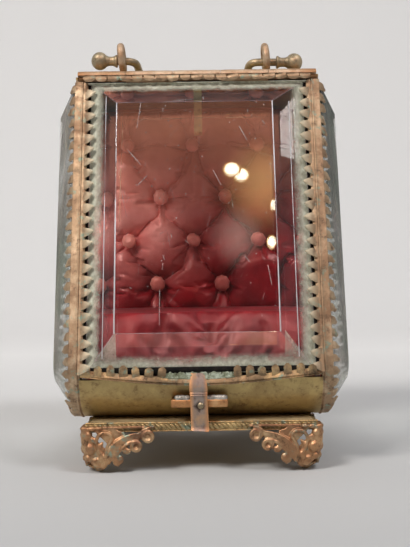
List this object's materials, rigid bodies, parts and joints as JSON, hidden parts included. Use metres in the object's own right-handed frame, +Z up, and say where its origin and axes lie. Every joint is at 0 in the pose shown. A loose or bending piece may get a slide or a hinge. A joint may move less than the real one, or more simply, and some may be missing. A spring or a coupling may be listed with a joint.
{
  "type": "glass casket box",
  "caption": "Upright bevelled-glass and gilt-brass casket: sloping top-hinged glass door, tufted silk lining, watch hook, sprung latch, swing handle and cast corner feet.",
  "frame": {"origin": "centre of the bounding box, in the plane the feet stand on", "axes": "+Z up, +X to the right seen from the front, -Y out through the door"},
  "size_m": [0.083, 0.0768, 0.1239],
  "materials": {
    "gilt_brass": "aged gilding, olive gold, rubbed and stained",
    "coppery_gilt": "gilding worn through to copper on the high places",
    "glass": "polished, ground bevels",
    "silk": "crimson satin",
    "lining_card": "covered in crimson silk"
  },
  "bodies": {
    "casket": {"top_plate": "gilt_brass", "back_plate": "gilt_brass", "base_plate": "gilt_brass", "plinth_plate": "gilt_brass", "front_apron": "gilt_brass", "corner_post_front_left": "coppery_gilt", "corner_post_front_right": "coppery_gilt", "corner_post_back_left": "coppery_gilt", "corner_post_back_right": "coppery_gilt", "side_strip_top_left": "coppery_gilt", "side_strip_top_right": "coppery_gilt", "side_strip_bottom_left": "coppery_gilt", "side_strip_bottom_right": "coppery_gilt", "side_glass_left": "glass", "side_glass_right": "glass", "gallery_front": "gilt_brass", "gallery_back": "gilt_brass", "gallery_left": "gilt_brass", "gallery_right": "gilt_brass", "foot_front_left": "coppery_gilt", "foot_front_right": "coppery_gilt", "foot_back_left": "coppery_gilt", "foot_back_right": "coppery_gilt", "back_board": "lining_card", "back_pad": "silk", "back_buttons": "silk", "floor_tray": "lining_card", "floor_cushion": "silk", "watch_hook": "gilt_brass", "hinge_knuckles_body": "coppery_gilt", "hinge_pin": "gilt_brass", "handle_eye_left": "coppery_gilt", "handle_eye_right": "coppery_gilt", "catch_bar": "gilt_brass", "catch_stud": "coppery_gilt"},
    "door": {"door_glass": "glass", "door_strip_top": "coppery_gilt", "door_strip_bottom": "coppery_gilt", "door_strip_left": "coppery_gilt", "door_strip_right": "coppery_gilt", "hinge_knuckles_door": "coppery_gilt"},
    "latch": {"latch_tongue": "coppery_gilt"},
    "handle": {"handle_bail": "coppery_gilt", "handle_ball_left": "coppery_gilt", "handle_ball_right": "coppery_gilt"}
  },
  "joints": [
    {"name": "door_hinge", "type": "hinge", "parent": "casket", "child": "door", "pos_m": [0, -0.01489, 0.1124], "axis": [-1, 0, 0], "range_deg": [0, 110]},
    {"name": "latch_flex", "type": "hinge", "parent": "door", "child": "latch", "pos_m": [0, -0.03626, 0.0269], "axis": [-1, 0, 0], "range_deg": [0, 10], "stiffness_Nm_per_rad": 0.08},
    {"name": "handle_swing", "type": "hinge", "parent": "casket", "child": "handle", "pos_m": [0, -0.00839, 0.11825], "axis": [1, 0, 0], "range_deg": [0, 110]}
  ]
}
